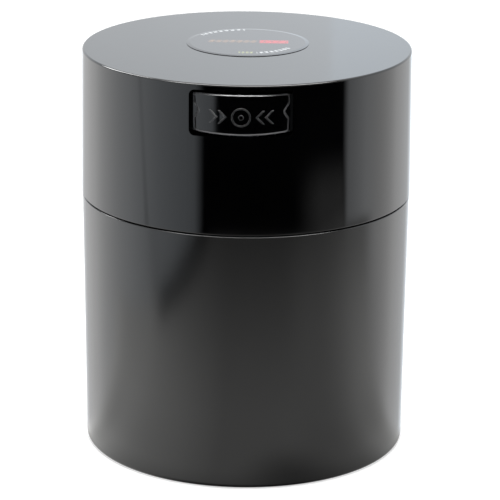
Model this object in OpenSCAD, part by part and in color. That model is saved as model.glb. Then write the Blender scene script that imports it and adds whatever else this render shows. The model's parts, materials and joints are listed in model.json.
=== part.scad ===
// Vacuum coffee canister: a straight-sided cup whose tall lid slides over its neck and down onto a
// piston-like insert with a seal ring. A push button in the lid's side lifts a small air valve.
// Millimetres, +Z up, origin at the centre of the base, button facing -Y.

/* [Overall] */
// Height of the closed canister, with the badge on its lid
height = 150; // [135:1:170]
// Diameter of the cup just under the lid
body_d = 121; // [116:0.5:130]
// Height of the lid from its rim to its top face
lid_h = 54; // [50:0.5:62]

/* [Cup] */
// How much narrower the cup's radius is at the base than under the lid
body_draft = 0.85; // [0:0.05:1.6]
// Thickness of the neck at its rim
neck_wall = 1.8; // [1.4:0.1:2.6]
// How much the bore's radius shrinks from the rim to the floor
bore_draft = 0.4; // [0.1:0.05:0.9]
// Thickness of the floor
floor_t = 3; // [2:0.25:5]
// Depth of the hollow under the base
base_hollow = 1.5; // [0.6:0.1:2.5]
// Width of the flat ring that the cup stands on
foot_w = 6; // [3:0.5:10]
// Rounding of the base's outer edge
base_round = 1.7; // [0.8:0.1:3]
// Rounding inside, between floor and wall
bowl_round = 4; // [2:0.5:8]
// Rounding of the shoulder's outer edge
shoulder_round = 0.4; // [0.2:0.1:0.8]
// Height of the visible seam between the lid's rim and the shoulder
seam_gap = 0.5; // [0.3:0.1:1.2]

/* [Lid] */
// Thickness of the lid's top
lid_t = 2.2; // [1.8:0.1:3]
// Thickness of the skirt at its rim
skirt_t = 1.6; // [1.3:0.1:2]
// Thickness of the skirt where it meets the top
skirt_top_t = 1.9; // [1.6:0.1:2.3]
// How far the skirt's rim stands out over the cup
lid_lip = 0.25; // [0.1:0.05:0.5]
// How much narrower the lid's radius is at the top than at the rim
lid_draft = 0.55; // [0.2:0.05:1]
// Rounding of the lid's top edge
edge_round = 1.2; // [0.6:0.1:1.8]
// Clearance between the skirt and the neck
lid_gap = 0.35; // [0.3:0.05:0.6]
// Diameter of the round badge on the lid
badge_d = 45; // [30:1:60]
// Thickness of the badge
badge_t = 0.3; // [0.2:0.05:0.6]
// How far the badge's centre lies behind the lid's centre
badge_back = 5.5; // [0:0.5:12]

/* [Button] */
// Width of the button's face
button_w = 33.8; // [30:0.1:36]
// Height of the button's face, at its middle
button_h = 14.7; // [14:0.1:15.5]
// How far the ends of the lower edge rise above its middle
button_bow = 1.1; // [0.3:0.1:1.6]
// How far the ends of the upper edge drop below its middle
button_arch = 0.4; // [0.1:0.1:0.8]
// Radius of the button's face, which is rounder than the lid
face_curve = 40; // [38:1:60]
// How much narrower each end is at the bottom than at the top
button_taper = 0.5; // [0:0.1:1]
// Depth of the notch in each end
notch_depth = 1.6; // [0.8:0.1:2.2]
// Height of the notch at its mouth
notch_h = 5; // [3:0.5:6]
// How far the notch lies above the middle of the button
notch_rise = 1; // [0:0.1:1.5]
// Height of the raised press sign on the face
sign_h = 6.8; // [5:0.1:8]
// How far the sign stands out from the face
sign_rise = 0.25; // [0.1:0.05:0.4]
// Gap between the button's ends and its window
button_gap = 1.35; // [0.6:0.05:1.8]
// Gap above the button
head_gap = 1.25; // [0.5:0.05:1.6]
// Gap below the middle of the button
sill_gap = 0.45; // [0.3:0.05:0.8]
// How far the face lies behind the skirt's outer surface
button_sink = 0.4; // [0:0.05:1]
// How far the button can be pressed
press = 4; // [3:0.1:4.5]
// How far the valve rises for each millimetre of press
lift_share = 0.5; // [0.4:0.05:0.6]

/* [Insert and valve] */
// Thickness of the insert's wall
insert_wall = 1.8; // [1.5:0.1:2.2]
// Thickness of the insert's floor
insert_floor = 2.2; // [1.8:0.1:3]
// Gap between the insert's wall and the neck's bore
insert_gap = 1.4; // [1:0.1:1.8]
// How far the insert's underside lies above the lid's rim
insert_inset = 1.8; // [1:0.1:4]
// Height of the seal ring's groove
groove_h = 6.2; // [5:0.2:8]
// Depth of the seal ring's groove
groove_d = 1.6; // [1.2:0.1:2]
// How far the valve's axis lies behind the front of the insert's wall
valve_inset = 25.2; // [24.2:0.1:27]
// Inner diameter of the air pipe under the valve
pipe_d = 11; // [10:0.5:12]
// Diameter of the valve's stem
stem_d = 6; // [5:0.5:6.5]
// Length of the valve spring, closed valve
spring_h = 13.3; // [11:0.1:16]
// Thickness of the spring's wire
wire_d = 0.7; // [0.5:0.05:0.9]
// Turns of the spring
spring_turns = 7; // [5:1:9]

/* [Hidden] */

// Faces round a large and a small circle
$fn = 96;
small_fn = 32;

// Overrun of a cut past the surface it opens
over = 1;
// How far a rib or leg runs into the wall that carries it
root = 0.5;
// Clearance of a piece that is seated and doesn't move
seat_gap = 0.1;
// Clearance of a piece that slides
slide_gap = 0.3;
// Clearance of a guided stem in its bore
guide_gap = 0.15;

// Heights, from the lid's top face downwards
lid_top_z = height - badge_t;
ceiling_z = lid_top_z - lid_t;
button_top_z = ceiling_z - head_gap;
button_z = button_top_z - button_h;
button_mid_z = button_z + button_h / 2;
window_z = button_z - sill_gap;
window_h = ceiling_z - window_z;
lid_rim_z = lid_top_z - lid_h;
shoulder_z = lid_rim_z - seam_gap;

// Neck and floor of the cup
rim_drop = 3.4;
rim_round = 0.7;
rim_z = window_z - rim_drop;
floor_z = base_hollow + floor_t;

// Radii of lid and cup
body_r = body_d / 2;
base_r = body_r - body_draft;
foot_r = base_r - base_round - foot_w;
lid_rim_r = body_r + lid_lip;
lid_top_r = lid_rim_r - lid_draft;
lid_rim_round = 0.3;

// Outer and inner radius of the skirt, outer radius of the neck and radius of its bore, at a height
function skirt_out(z) = lid_rim_r - lid_draft * (z - lid_rim_z) / lid_h;
function skirt_in(z) = lid_rim_r - skirt_t
    - (lid_draft + skirt_top_t - skirt_t) * (z - lid_rim_z) / (ceiling_z - lid_rim_z);
function neck_r(z) = skirt_in(z) - lid_gap;
function bore_r(z) = neck_r(rim_z) - neck_wall - bore_draft * (rim_z - z) / (rim_z - floor_z);

// Insert: a shallow cup, open at the top, with the seal ring's groove near its floor
insert_rise = 1.3;
insert_chamfer = 0.8;
insert_z = lid_rim_z + insert_inset;
insert_floor_z = insert_z + insert_floor;
insert_top_z = rim_z + insert_rise;
insert_r = bore_r(insert_z) - insert_gap;
insert_in_r = insert_r - insert_wall;
groove_rise = 2;
groove_z = insert_z + groove_rise;
groove_top_z = groove_z + groove_h;
groove_r = insert_r - groove_d;
band_r = groove_r - insert_wall;
band_top_z = groove_top_z + groove_rise;
floor_rib_h = 3;
floor_rib_t = 1.6;
floor_rib_count = 8;
floor_hub_r = 8;

// Seal ring: a band in the groove with two lips that reach the bore
seal_gap = 0.12;
seal_band_gap = 0.3;
lip_root_h = 1.7;
lip_tip_h = 0.4;
lip_rise = 0.8;
lip_inset = 0.6;

// Snap legs of the lid, and the ribs that press on the insert and rest on the neck's rim
leg_count = 6;
leg_w = 7;
leg_t = 1.8;
leg_foot_h = 3.6;
leg_web_t = 1.4;
leg_web_l = 3.5;
leg_web_h = 12;
nose_reach = 1.6;
nose_face_h = 1.2;
nose_drop = 4;
nose_top_z = insert_top_z - nose_drop;
leg_r = insert_in_r - slide_gap;
leg_end_z = nose_top_z - leg_foot_h;
slot_room = 0.4;
rib_angles = [30, 90, 150, 210, 330];
rib_t = 1.4;
rib_lap = 1.4;
rib_in_r = insert_in_r - rib_lap;
rib_step_r = (insert_r + bore_r(rim_z)) / 2;
ceiling_round = 1;

// Button
window_w = button_w + 2 * button_gap;
window_round = 2;
button_round = 1.2;
face_r = skirt_out(button_mid_z) - button_sink;
stop_t = 1.8;
stop_lap = 2;
stop_inset = 0.9;
stop_r = skirt_in(button_top_z) - slide_gap;
stop_in_r = stop_r - stop_t;
stop_w = window_w + 2 * stop_lap;
notch_z = button_mid_z + notch_rise;

// Press sign: a ring round a dot, between two pairs of chevrons that point at it
sign_drop = 0.7;
sign_line = 0.55;
sign_dot_r = 0.9;
sign_gap = 1.6;
sign_arm = 2.4;
sign_step = 3.2;

// Fork behind the button: two arms whose ends slope down to lift the valve's cross pin
arm_rise = 0.65;
arm_h = 4.6;
arm_w = 3.6;
arm_tip_h = 0.6;
arm_web_l = 10;
arm_web_t = 2;
fork_gap = 0.7;
arm_in_x = stem_d / 2 + fork_gap;
arm_out_x = arm_in_x + arm_w;
arm_z = button_z + arm_rise;
arm_top_z = arm_z + arm_h;
ramp_angle = atan(lift_share);
valve_y = valve_inset - insert_in_r;

// Cross pin of the valve spindle, just over the slopes
pin_r = 1.5;
pin_gap = 0.15;
pin_over_ramp = (pin_r + pin_gap) / cos(ramp_angle);
ramp_under_pin = 1.4;
ramp_z = arm_z + ramp_under_pin;
pin_z = ramp_z + pin_over_ramp;
stem_top_rise = 1.6;
stem_top_z = pin_z + pin_r + stem_top_rise;

// Valve housing: a plate on four posts of the insert, with a rail on each side of the fork
plate_t = 2.3;
plate_top_z = arm_z - slide_gap;
plate_z = plate_top_z - plate_t;
rail_t = 1.6;
rail_lip_t = 1.2;
rail_lip_w = 2;
rail_in_x = arm_out_x + slide_gap;
rail_out_x = rail_in_x + rail_t;
rail_lip_z = arm_top_z + slide_gap;
rail_top_z = rail_lip_z + rail_lip_t;
plate_front_y = press + 2 * slide_gap - sqrt(pow(stop_in_r, 2) - pow(rail_out_x, 2));
plate_back_l = 9;
plate_back_y = valve_y + plate_back_l;
rail_lip_back = 1.5;
lip_end_y = valve_y - pin_r - rail_lip_back;
post_r = 3.6;
post_x = 15;
post_front_l = 15;
post_back_l = 12;
post_places = [for (x = [-post_x, post_x], y = [-post_front_l, post_back_l]) [x, valve_y + y]];
ear_r = 4.2;

// Screws of the housing
screw_r = 1.5;
screw_l = 10;
screw_head_r = 2.8;
screw_head_h = 1.8;
screw_slot_w = 0.7;
screw_slot_h = 0.9;
pilot_gap = 0.05;
pilot_spare = 1.5;

// Valve: washer under the spindle's flange, seated on the air pipe's lip
washer_t = 2.4;
washer_lap = 2.1;
washer_r = pipe_d / 2 + washer_lap;
flange_t = 1.6;
flange_lap = 0.2;
flange_r = washer_r + flange_lap;
spring_top_z = plate_z - seat_gap;
spring_z = spring_top_z - spring_h;
flange_top_z = spring_z - seat_gap;
washer_top_z = flange_top_z - flange_t;
washer_z = washer_top_z - washer_t;
pipe_z = washer_z - seat_gap;
spring_r = 5.2;
tail_r = 2;
tail_spare = 0.5;
pipe_wall = 2;
pipe_r = pipe_d / 2;
pipe_out_r = pipe_r + pipe_wall;
pipe_land = 0.7;
pipe_bevel = 0.8;
pipe_l = pipe_z - insert_z;
hub_r = 3.4;
hub_h_share = 0.28;
hub_drop_share = 0.14;
hub_h = hub_h_share * pipe_l;
hub_z = pipe_z - hub_drop_share * pipe_l - hub_h;
spoke_w = 1.4;
spoke_count = 3;

// Vent screen, pressed into the air pipe from below
screen_r = 9.8;
screen_t = 1;
screen_plug_share = 0.35;
screen_plug_top = screen_plug_share * pipe_l;
screen_plug_t = 0.9;
screen_hole_r = 0.6;
screen_ring_shares = [0, 0.33, 0.66];
screen_ring_counts = [1, 6, 12];

// Points of an arc about a centre, from one angle to another
function arc(centre, radius, from, to, steps = 6) = [
    for (i = [0:steps])
        let (angle = from + (to - from) * i / steps)
            centre + radius * [cos(angle), sin(angle)]
];

// Rectangle with round corners, centred, with true arcs
module round_rectangle(w, h, r) {
    square([w - 2 * r, h], center = true);
    square([w, h - 2 * r], center = true);
    for (x = [-1, 1], y = [-1, 1])
        translate([x * (w / 2 - r), y * (h / 2 - r)])
            circle(r, $fn = small_fn);
}

// Upright plate that follows a profile in radius and height, at an angle about the axis
module fin(angle, t, points) {
    rotate([0, 0, angle])
        rotate([90, 0, 0])
            linear_extrude(t, center = true)
                polygon(points);
}

// Cup with a hollow base, a shoulder and the neck that the lid slides over
module canister_body() {
    color("#1b1b1d")
        rotate_extrude()
            polygon(concat(
                [[0, base_hollow], [foot_r - base_hollow, base_hollow], [foot_r, 0]],
                arc([base_r - base_round, base_round], base_round, -90, 0),
                arc([body_r - shoulder_round, shoulder_z - shoulder_round], shoulder_round, 0, 90, 3),
                [[neck_r(shoulder_z), shoulder_z]],
                arc([neck_r(rim_z) - rim_round, rim_z - rim_round], rim_round, 0, 90, 4),
                arc([bore_r(rim_z) + rim_round, rim_z - rim_round], rim_round, 90, 180, 4),
                arc([bore_r(floor_z) - bowl_round, floor_z + bowl_round], bowl_round, 0, -90),
                [[0, floor_z]]
            ));
}

// Skin of the lid: top and skirt
module lid_skin() {
    rotate_extrude()
        polygon(concat(
            [[0, lid_top_z], [0, ceiling_z]],
            arc([skirt_in(ceiling_z) - ceiling_round, ceiling_z - ceiling_round],
                ceiling_round, 90, 0, 3),
            [[skirt_in(lid_rim_z), lid_rim_z]],
            arc([lid_rim_r - lid_rim_round, lid_rim_z + lid_rim_round], lid_rim_round, -90, 0, 3),
            arc([lid_top_r - edge_round, lid_top_z - edge_round], edge_round, 0, 90)
        ));
}

// Window in the skirt that the button stands in
module button_window() {
    translate([0, plate_front_y, window_z + window_h / 2])
        rotate([90, 0, 0])
            linear_extrude(body_r)
                round_rectangle(window_w, window_h, window_round);
}

// Leg that hangs from the lid inside the insert's wall, with a nose that snaps into a slot and a
// web behind it
module snap_leg(angle) {
    fin(angle, leg_w, [
        [leg_r - leg_t, ceiling_z + root],
        [leg_r, ceiling_z + root],
        [leg_r, nose_top_z],
        [leg_r + nose_reach, nose_top_z],
        [leg_r + nose_reach, nose_top_z - nose_face_h],
        [leg_r - nose_face_h / 2, leg_end_z],
        [leg_r - leg_t, leg_end_z],
    ]);
    fin(angle, leg_web_t, [
        [leg_r - leg_t - leg_web_l, ceiling_z + root],
        [leg_r - leg_t - leg_web_l, ceiling_z - leg_web_t],
        [leg_r - leg_t + root, ceiling_z - leg_web_h],
        [leg_r - leg_t + root, ceiling_z + root],
    ]);
}

// Rib that presses on the insert's wall and, with the lid down, rests just over the neck's rim
module rest_rib(angle) {
    fin(angle, rib_t, [
        [rib_in_r, ceiling_z + root],
        [rib_in_r, insert_top_z + seat_gap],
        [rib_step_r, insert_top_z + seat_gap],
        [rib_step_r, rim_z + 2 * seat_gap],
        [skirt_in(rim_z) + root, rim_z + 2 * seat_gap],
        [skirt_in(ceiling_z) + root, ceiling_z + root],
    ]);
}

// Outer lid: skin with the button's window, snap legs and ribs
module lid_shell() {
    color("#101012") {
        difference() {
            lid_skin();
            button_window();
        }
        for (i = [0:leg_count - 1])
            snap_leg(i * 360 / leg_count);
        for (angle = rib_angles)
            rest_rib(angle);
    }
}

// Thin round badge on the lid
module lid_badge() {
    color("#2a2a2e")
        translate([0, badge_back, lid_top_z])
            cylinder(h = badge_t, r1 = badge_d / 2, r2 = badge_d / 2 - badge_t / 2);
}

// Wall and floor of the insert
module insert_cup() {
    rotate_extrude()
        polygon([
            [0, insert_z],
            [insert_r - insert_chamfer, insert_z],
            [insert_r, insert_z + insert_chamfer],
            [insert_r, groove_z],
            [groove_r, groove_z],
            [groove_r, groove_top_z],
            [insert_r, groove_top_z],
            [insert_r, insert_top_z],
            [insert_in_r, insert_top_z],
            [insert_in_r, band_top_z + groove_d],
            [band_r, band_top_z],
            [band_r, insert_floor_z],
            [0, insert_floor_z],
        ]);
}

// Ribs that stiffen the insert's floor against the outside air
module floor_ribs() {
    for (i = [0:floor_rib_count - 1])
        rotate([0, 0, (i + 1 / 2) * 360 / floor_rib_count])
            translate([0, -floor_rib_t / 2, insert_floor_z - root])
                cube([band_r + root, floor_rib_t, floor_rib_h + root]);
    translate([0, 0, insert_floor_z - root])
        cylinder(h = floor_rib_h + root, r = floor_hub_r);
}

// Air pipe with the narrow lip that the valve's washer closes
module air_pipe() {
    translate([0, valve_y, 0])
        rotate_extrude($fn = small_fn * 2)
            polygon([
                [pipe_r, insert_floor_z - root],
                [pipe_out_r, insert_floor_z - root],
                [pipe_out_r, pipe_z - pipe_bevel],
                [pipe_r + pipe_bevel + pipe_land, pipe_z],
                [pipe_r + pipe_bevel, pipe_z],
                [pipe_r, pipe_z - pipe_bevel],
            ]);
}

// Hub and spokes inside the pipe that guide the spindle's tail
module spindle_guide() {
    translate([0, valve_y, hub_z])
        difference() {
            union() {
                cylinder(h = hub_h, r = hub_r, $fn = small_fn);
                for (i = [0:spoke_count - 1])
                    rotate([0, 0, 90 + i * 360 / spoke_count])
                        translate([tail_r + guide_gap, -spoke_w / 2, 0])
                            cube([pipe_r - tail_r, spoke_w, hub_h - spoke_w / 2]);
            }
            translate([0, 0, -over])
                cylinder(h = hub_h + 2 * over, r = tail_r + guide_gap, $fn = small_fn);
        }
}

// Piston-like inner lid that carries the seal ring and the valve
module lid_insert() {
    color("#26262a") {
        difference() {
            union() {
                insert_cup();
                floor_ribs();
                for (place = post_places)
                    translate([place.x, place.y, insert_floor_z - root])
                        cylinder(h = plate_z - insert_floor_z + root, r = post_r, $fn = small_fn);
            }
            for (i = [0:leg_count - 1])
                rotate([0, 0, i * 360 / leg_count])
                    translate([
                        insert_in_r - over,
                        -(leg_w / 2 + slot_room),
                        leg_end_z - slot_room,
                    ])
                        cube([
                            insert_wall + 2 * over,
                            leg_w + 2 * slot_room,
                            nose_top_z - leg_end_z + slot_room + seat_gap,
                        ]);
            translate([0, valve_y, insert_z - over])
                cylinder(h = pipe_z - insert_z, r = pipe_r, $fn = small_fn * 2);
            translate([0, valve_y, insert_z - over])
                cylinder(h = screen_t + seat_gap + over, r = screen_r + seat_gap);
            for (place = post_places)
                translate([place.x, place.y, plate_z - screw_l - pilot_spare + plate_t])
                    cylinder(h = screw_l + pilot_spare + over, r = screw_r + pilot_gap, $fn = small_fn);
        }
        air_pipe();
        spindle_guide();
    }
}

// Silicone ring with two lips
module seal_ring() {
    seal_z = groove_z + seat_gap;
    seal_top_z = groove_top_z - seat_gap;
    seal_band_r = insert_r - seal_band_gap;
    tip_r = bore_r(groove_z) - seal_gap;
    upper_z = seal_top_z - lip_inset - lip_root_h;
    color("#d8d8d4")
        rotate_extrude()
            polygon([
                [groove_r, seal_z],
                [seal_band_r, seal_z],
                [seal_band_r, seal_z + lip_inset],
                [tip_r, seal_z + lip_inset + lip_rise],
                [tip_r, seal_z + lip_inset + lip_rise + lip_tip_h],
                [seal_band_r, seal_z + lip_inset + lip_root_h],
                [seal_band_r, upper_z],
                [tip_r, upper_z + lip_rise],
                [tip_r, upper_z + lip_rise + lip_tip_h],
                [seal_band_r, upper_z + lip_root_h],
                [seal_band_r, seal_top_z],
                [groove_r, seal_top_z],
            ]);
}

// Perforated disc that keeps grounds out of the air pipe
module vent_screen() {
    color("#333338")
        translate([0, valve_y, insert_z])
            difference() {
                union() {
                    cylinder(h = screen_t, r = screen_r);
                    cylinder(h = screen_plug_top, r = pipe_r - seat_gap, $fn = small_fn * 2);
                }
                translate([0, 0, screen_t])
                    cylinder(
                        h = screen_plug_top,
                        r = pipe_r - seat_gap - screen_plug_t,
                        $fn = small_fn * 2
                    );
                for (ring = [0:len(screen_ring_counts) - 1], i = [1:screen_ring_counts[ring]])
                    rotate([0, 0, i * 360 / screen_ring_counts[ring]])
                        translate([screen_ring_shares[ring] * pipe_r, 0, -over])
                            cylinder(h = screen_t + 2 * over, r = screen_hole_r, $fn = 16);
            }
}

// Outline of the housing's plate, seen from above
module plate_outline() {
    translate([-rail_out_x, plate_front_y])
        square([2 * rail_out_x, plate_back_y - plate_front_y]);
    for (place = post_places)
        translate(place)
            circle(ear_r, $fn = small_fn);
    for (y = [-post_front_l, post_back_l])
        translate([-post_x, valve_y + y - ear_r])
            square([2 * post_x, 2 * ear_r]);
    translate([-rail_out_x, plate_back_y - root])
        square([2 * rail_out_x, valve_y + post_back_l - plate_back_y + root]);
}

// Side rail of the housing, with a lip over the fork's arm along its front part
module rail() {
    translate([rail_in_x, plate_front_y, plate_top_z - root])
        cube([rail_t, plate_back_y - plate_front_y, rail_top_z - plate_top_z + root]);
    translate([rail_in_x - rail_lip_w, plate_front_y, rail_lip_z])
        cube([rail_lip_w + root, lip_end_y - plate_front_y, rail_lip_t]);
}

// Bridge over the valve: carries the spring's upper end and guides the fork and the stem
module valve_housing() {
    color("#3a3a40")
        difference() {
            union() {
                translate([0, 0, plate_z])
                    linear_extrude(plate_t)
                        plate_outline();
                rail();
                mirror([1, 0, 0])
                    rail();
            }
            translate([0, valve_y, plate_z - over])
                cylinder(h = plate_t + 2 * over, r = stem_d / 2 + guide_gap, $fn = small_fn * 2);
            for (place = post_places)
                translate([place.x, place.y, plate_z - over])
                    cylinder(h = plate_t + 2 * over, r = screw_r + seat_gap, $fn = small_fn);
        }
}

// Pan-head screw with a crossed slot, its head's seat at the origin
module screw() {
    difference() {
        union() {
            translate([0, 0, -screw_l])
                cylinder(h = screw_l, r = screw_r, $fn = small_fn);
            cylinder(h = screw_head_h, r1 = screw_head_r, r2 = screw_head_r - screw_head_h / 2,
                $fn = small_fn);
        }
        for (turn = [0, 90])
            rotate([0, 0, turn])
                translate([-screw_head_r / 2, -screw_slot_w / 2, screw_head_h - screw_slot_h])
                    cube([screw_head_r, screw_slot_w, screw_slot_h + over]);
    }
}

// Four screws that hold the housing on the insert's posts
module housing_screws() {
    color("silver")
        for (place = post_places)
            translate([place.x, place.y, plate_top_z])
                screw();
}

// Half width of the button at a height over its lower edge
function button_half(z) = button_w / 2 - button_taper * (button_h - z) / button_h;

// One end of the button's outline, from the lower corner up past the notch to the upper corner,
// measured from the middle of the lower edge
function button_end() = concat(
    arc([button_half(0) - button_round, button_bow + button_round], button_round, -90, 0, 4),
    [
        [button_half(notch_z - button_z - notch_h / 2), notch_z - button_z - notch_h / 2],
        [button_half(notch_z - button_z) - notch_depth, notch_z - button_z],
        [button_half(notch_z - button_z + notch_h / 2), notch_z - button_z + notch_h / 2],
    ],
    arc([button_half(button_h) - button_round, button_h - button_arch - button_round],
        button_round, 0, 90, 4)
);

// Rise of a shallow arc over its chord, as the radius of its circle
function arc_radius(half, rise) = (half * half + rise * rise) / (2 * rise);

// Outline of the button's face: arched above, bowed below, a notch in each end
module button_outline() {
    bow_half = button_half(0) - button_round;
    bow_r = arc_radius(bow_half, button_bow);
    bow_angle = asin(bow_half / bow_r);
    arch_half = button_half(button_h) - button_round;
    arch_r = arc_radius(arch_half, button_arch);
    arch_angle = asin(arch_half / arch_r);
    end = button_end();
    polygon(concat(
        arc([0, bow_r], bow_r, -90 - bow_angle, -90 + bow_angle, 12),
        end,
        arc([0, button_h - arch_r], arch_r, 90 - arch_angle, 90 + arch_angle, 8),
        [for (i = [len(end) - 1:-1:0]) [-end[i].x, end[i].y]]
    ));
}

// Press sign, seen from the front, its middle at the origin
module press_sign() {
    chevron_t = sign_line / sin(45);
    difference() {
        circle(sign_h / 2, $fn = small_fn);
        circle(sign_h / 2 - sign_line, $fn = small_fn);
    }
    circle(sign_dot_r, $fn = small_fn);
    for (side = [-1, 1], i = [0, 1])
        translate([side * (sign_h / 2 + sign_gap + i * sign_step), 0])
            polygon([
                [0, 0],
                [side * sign_arm, sign_arm],
                [side * (sign_arm + chevron_t), sign_arm],
                [side * chevron_t, 0],
                [side * (sign_arm + chevron_t), -sign_arm],
                [side * sign_arm, -sign_arm],
            ]);
}

// Curved plate between two radii, over a width and between two heights
module curved_plate(r, t, w, z, h) {
    intersection() {
        translate([0, 0, z])
            difference() {
                cylinder(h = h, r = r);
                translate([0, 0, -over])
                    cylinder(h = h + 2 * over, r = r - t);
            }
        translate([-w / 2, -body_r, z])
            cube([w, body_r, h]);
    }
}

// One arm of the fork, seen from the side: its end slopes down at the valve's lift ratio
module fork_arm() {
    tip_y = valve_y + (ramp_under_pin - arm_tip_h) / lift_share;
    slope_y = valve_y - (arm_h - ramp_under_pin) / lift_share;
    translate([arm_in_x, 0, 0])
        rotate([90, 0, 90])
            linear_extrude(arm_w)
                polygon([
                    [-stop_r + root, arm_z],
                    [tip_y, arm_z],
                    [tip_y, arm_z + arm_tip_h],
                    [slope_y, arm_top_z],
                    [-stop_r + root, arm_top_z],
                ]);
}

// Push button: face in the window, stop plate behind the skirt, and the fork
module press_button() {
    color("#141416") {
        intersection() {
            translate([0, face_curve - face_r, button_z])
                cylinder(h = button_h, r = face_curve);
            difference() {
                translate([0, 0, button_z])
                    rotate([90, 0, 0])
                        linear_extrude(body_r)
                            button_outline();
                translate([0, 0, button_z - over])
                    cylinder(h = button_h + 2 * over, r = stop_r - root);
            }
        }
        intersection() {
            translate([0, face_curve - face_r, button_z])
                difference() {
                    cylinder(h = button_h, r = face_curve + sign_rise);
                    translate([0, 0, -over])
                        cylinder(h = button_h + 2 * over, r = face_curve - root);
                }
            translate([0, 0, button_mid_z - sign_drop])
                rotate([90, 0, 0])
                    linear_extrude(body_r)
                        press_sign();
        }
        curved_plate(
            stop_r,
            stop_t,
            stop_w,
            button_z + stop_inset,
            button_h - 2 * stop_inset + button_round / 2
        );
        fork_arm();
        mirror([1, 0, 0])
            fork_arm();
        translate([-arm_out_x, -stop_r + root, arm_z])
            cube([2 * arm_out_x, arm_web_l, arm_web_t]);
    }
}

// Valve spindle: flange over the washer, stem through the housing, cross pin over the fork
module valve_spindle() {
    color("#e4e2da")
        translate([0, valve_y, 0]) {
            translate([0, 0, washer_top_z])
                cylinder(h = flange_t, r = flange_r, $fn = small_fn * 2);
            translate([0, 0, flange_top_z - root])
                cylinder(h = stem_top_z - flange_top_z + root, r = stem_d / 2, $fn = small_fn * 2);
            translate([0, 0, hub_z - tail_spare])
                cylinder(h = washer_top_z - hub_z + tail_spare + root, r = tail_r, $fn = small_fn);
            translate([-arm_out_x, 0, pin_z])
                rotate([0, 90, 0])
                    cylinder(h = 2 * arm_out_x, r = pin_r, $fn = small_fn);
        }
}

// Rubber washer that closes the air pipe
module valve_washer() {
    color("#b9b7b0")
        translate([0, valve_y, washer_z])
            difference() {
                cylinder(h = washer_t, r = washer_r, $fn = small_fn * 2);
                translate([0, 0, -over])
                    cylinder(h = washer_t + 2 * over, r = tail_r, $fn = small_fn);
            }
}

// Centre line of the spring: turns of one radius that climb at a steady rate
coil_rings = 14;
coil_sides = 6;
coil_climb = spring_h - wire_d;
function coil_point(i) =
    let (angle = 360 * i / coil_rings)
        [
            spring_r * cos(angle),
            spring_r * sin(angle),
            wire_d / 2 + coil_climb * i / (coil_rings * spring_turns),
        ];

// Least distance between two turns of the centre line, one turn apart, less the wire
coil_gap = min([
    for (i = [0:coil_rings * (spring_turns - 1)], j = [-3:3])
        let (k = i + coil_rings + j)
            if (k <= coil_rings * spring_turns)
                norm(coil_point(i) - coil_point(k)) - wire_d
]);
echo(least_gap_between_turns_of_the_spring = coil_gap);

// Coil spring of one unbroken wire
module valve_spring() {
    last = coil_rings * spring_turns;
    points = [
        for (i = [0:last], s = [0:coil_sides - 1])
            let (
                angle = 360 * i / coil_rings,
                around = 360 * s / coil_sides,
                reach = wire_d / 2 * cos(around)
            )
                coil_point(i)
                    + [reach * cos(angle), reach * sin(angle), wire_d / 2 * sin(around)]
    ];
    sides = [
        for (i = [0:last - 1], s = [0:coil_sides - 1])
            let (
                a = i * coil_sides + s,
                b = i * coil_sides + (s + 1) % coil_sides,
                c = b + coil_sides,
                d = a + coil_sides
            )
                each [[a, b, c], [a, c, d]]
    ];
    start = [for (s = [1:coil_sides - 2]) [0, s + 1, s]];
    end = [
        for (s = [1:coil_sides - 2])
            [last * coil_sides, last * coil_sides + s, last * coil_sides + s + 1]
    ];
    color("#b8b8bc")
        translate([0, valve_y, spring_z])
            polyhedron(points, concat(sides, start, end));
}

canister_body();
lid_shell();
lid_badge();
lid_insert();
seal_ring();
vent_screen();
valve_housing();
housing_screws();
press_button();
valve_spindle();
valve_washer();
valve_spring();
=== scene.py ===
"""Vacuum coffee canister in black plastic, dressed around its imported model.

Metres, +Z up, origin at the centre of the base, push button facing -Y.
"""

import json
import math

import bmesh
import bpy
from bpy.props import FloatProperty, FloatVectorProperty, IntProperty, PointerProperty
from mathutils import Matrix, Vector


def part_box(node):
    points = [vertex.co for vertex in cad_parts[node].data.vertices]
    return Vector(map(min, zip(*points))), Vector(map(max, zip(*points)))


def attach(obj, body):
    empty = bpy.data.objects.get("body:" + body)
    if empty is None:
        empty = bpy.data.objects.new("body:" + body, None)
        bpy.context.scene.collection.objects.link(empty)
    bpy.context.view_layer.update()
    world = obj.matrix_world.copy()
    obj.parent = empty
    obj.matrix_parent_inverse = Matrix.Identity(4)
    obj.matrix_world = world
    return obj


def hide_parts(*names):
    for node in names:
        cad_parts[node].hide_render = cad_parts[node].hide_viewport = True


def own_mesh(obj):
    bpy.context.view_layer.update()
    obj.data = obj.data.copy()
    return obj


bl_info = {
    "name": "Vacuum Coffee Canister",
    "version": (1, 0, 0),
    "blender": (4, 5, 0),
    "location": "3D View > Sidebar > Canister",
    "description": "Dresses a push-button canister, its lid and its air valve",
    "category": "Add Mesh",
}

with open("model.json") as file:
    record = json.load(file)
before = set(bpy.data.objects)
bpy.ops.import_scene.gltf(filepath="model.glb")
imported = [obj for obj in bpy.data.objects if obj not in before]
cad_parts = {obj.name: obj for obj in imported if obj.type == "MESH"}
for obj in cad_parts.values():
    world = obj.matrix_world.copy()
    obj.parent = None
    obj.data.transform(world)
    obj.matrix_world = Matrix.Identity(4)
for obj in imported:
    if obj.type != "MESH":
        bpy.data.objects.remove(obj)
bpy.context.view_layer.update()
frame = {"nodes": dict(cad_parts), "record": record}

MM = 0.001
TINY = 0.002 * MM
SHARP = math.radians(30.0)
ORIGIN = Vector((0.0, 0.0, 0.0))
UPWARD = Vector((0.0, 0.0, 1.0))
BACKWARD = Vector((0.0, 1.0, 0.0))

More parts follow.
